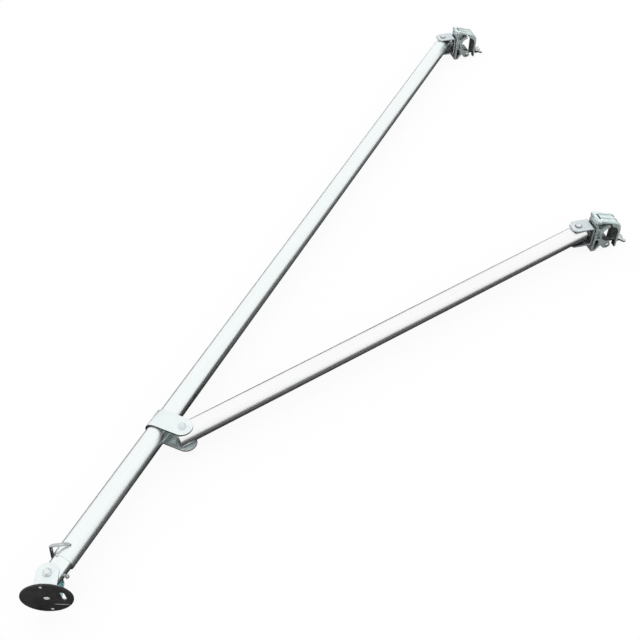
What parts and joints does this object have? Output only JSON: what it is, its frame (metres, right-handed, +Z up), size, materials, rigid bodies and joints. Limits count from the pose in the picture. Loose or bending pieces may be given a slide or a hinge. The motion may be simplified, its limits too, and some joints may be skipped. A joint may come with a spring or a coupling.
{
  "type": "scaffold outrigger",
  "caption": "Scaffold tower outrigger: a straight tube leg with a swivel rubber foot and a locking clip, a hinged brace tube, and swivel half couplers that clamp onto the tower standard.",
  "frame": {"origin": "bore centre of the lower half coupler", "axes": "+Y up the tower standard that both couplers grip, +X from the foot towards the standard, +Z up from the floor the outrigger lies on"},
  "size_m": [1.725, 1.9444, 0.11],
  "materials": {
    "tube": "satin",
    "plate": "satin zinc",
    "coupler": "dull zinc",
    "fastener": "bright zinc",
    "wire": "plain",
    "pad": "matte"
  },
  "bodies": {
    "main_leg": {"main_tube": "tube", "bracket_strap": "plate", "bracket_rivets": "plate", "foot_spigot": "tube", "spigot_rivet": "fastener", "brace_pivot_bolt": "fastener", "brace_pivot_nut": "fastener"},
    "clip": {"lock_clip": "wire"},
    "foot": {"foot_bracket": "plate", "foot_pivot_bolt": "fastener", "foot_pivot_nut": "fastener", "foot_disc": "plate", "foot_pad": "pad", "pad_center_rivet": "fastener", "pad_rivets": "fastener"},
    "brace": {"brace_tube": "tube"},
    "upper_fork": {"upper_clevis": "coupler", "upper_clevis_rivet": "fastener", "upper_swivel_rivet": "fastener", "upper_swivel_washer": "fastener"},
    "upper_coupler": {"upper_coupler_body": "coupler", "upper_hinge_pin": "fastener", "upper_bolt_pin": "fastener"},
    "upper_cap": {"upper_coupler_cap": "coupler"},
    "upper_bolt": {"upper_swing_bolt": "fastener"},
    "upper_nut": {"upper_wing_nut": "fastener"},
    "lower_fork": {"lower_clevis": "coupler", "lower_clevis_rivet": "fastener", "lower_swivel_rivet": "fastener", "lower_swivel_washer": "fastener"},
    "lower_coupler": {"lower_coupler_body": "coupler", "lower_hinge_pin": "fastener", "lower_bolt_pin": "fastener"},
    "lower_cap": {"lower_coupler_cap": "coupler"},
    "lower_bolt": {"lower_swing_bolt": "fastener"},
    "lower_nut": {"lower_wing_nut": "fastener"}
  },
  "joints": [
    {"name": "clip_pull", "type": "slide", "parent": "main_leg", "child": "clip", "axis": [0.1082, -0.0876, 0.9903], "range_m": [0, 0.064]},
    {"name": "foot_pivot", "type": "hinge", "parent": "main_leg", "child": "foot", "pos_m": [-1.60192, -0.7321, 0], "axis": [0, 0, 1], "range_deg": [-87, 32]},
    {"name": "brace_pivot", "type": "hinge", "parent": "main_leg", "child": "brace", "pos_m": [-1.2879, -0.43488, 0], "axis": [0, 0, 1], "range_deg": [-70, 23]},
    {"name": "upper_fork_pivot", "type": "hinge", "parent": "main_leg", "child": "upper_fork", "pos_m": [-0.09306, 1.13119, 0], "axis": [0, 0, 1], "range_deg": [-44, 146]},
    {"name": "upper_swivel", "type": "hinge", "parent": "upper_fork", "child": "upper_coupler", "pos_m": [-0.05, 1.13119, 0], "axis": [1, 0, 0], "continuous": true},
    {"name": "upper_bolt_swing", "type": "hinge", "parent": "upper_coupler", "child": "upper_bolt", "pos_m": [0, 1.13119, -0.041], "axis": [0, 1, 0], "range_deg": [0, 110]},
    {"name": "upper_cap_hinge", "type": "hinge", "parent": "upper_coupler", "child": "upper_cap", "pos_m": [-0.0418, 1.13119, 0.048], "axis": [0, -1, 0], "range_deg": [0, 66]},
    {"name": "upper_nut_turn", "type": "hinge", "parent": "upper_bolt", "child": "upper_nut", "pos_m": [0.05, 1.13119, -0.041], "axis": [1, 0, 0], "continuous": true},
    {"name": "lower_fork_pivot", "type": "hinge", "parent": "brace", "child": "lower_fork", "pos_m": [-0.09306, 0, 0], "axis": [0, 0, 1], "range_deg": [-75, 115]},
    {"name": "lower_swivel", "type": "hinge", "parent": "lower_fork", "child": "lower_coupler", "pos_m": [-0.05, 0, 0], "axis": [1, 0, 0], "continuous": true},
    {"name": "lower_bolt_swing", "type": "hinge", "parent": "lower_coupler", "child": "lower_bolt", "pos_m": [0, 0, -0.041], "axis": [0, 1, 0], "range_deg": [0, 110]},
    {"name": "lower_cap_hinge", "type": "hinge", "parent": "lower_coupler", "child": "lower_cap", "pos_m": [-0.0418, 0, 0.048], "axis": [0, -1, 0], "range_deg": [0, 66]},
    {"name": "lower_nut_turn", "type": "hinge", "parent": "lower_bolt", "child": "lower_nut", "pos_m": [0.05, 0, -0.041], "axis": [1, 0, 0], "continuous": true}
  ],
  "couplings": [
    {"joint": "upper_cap_hinge", "follows": "upper_bolt_swing", "ratio": 0.6},
    {"joint": "lower_cap_hinge", "follows": "lower_bolt_swing", "ratio": 0.6}
  ]
}
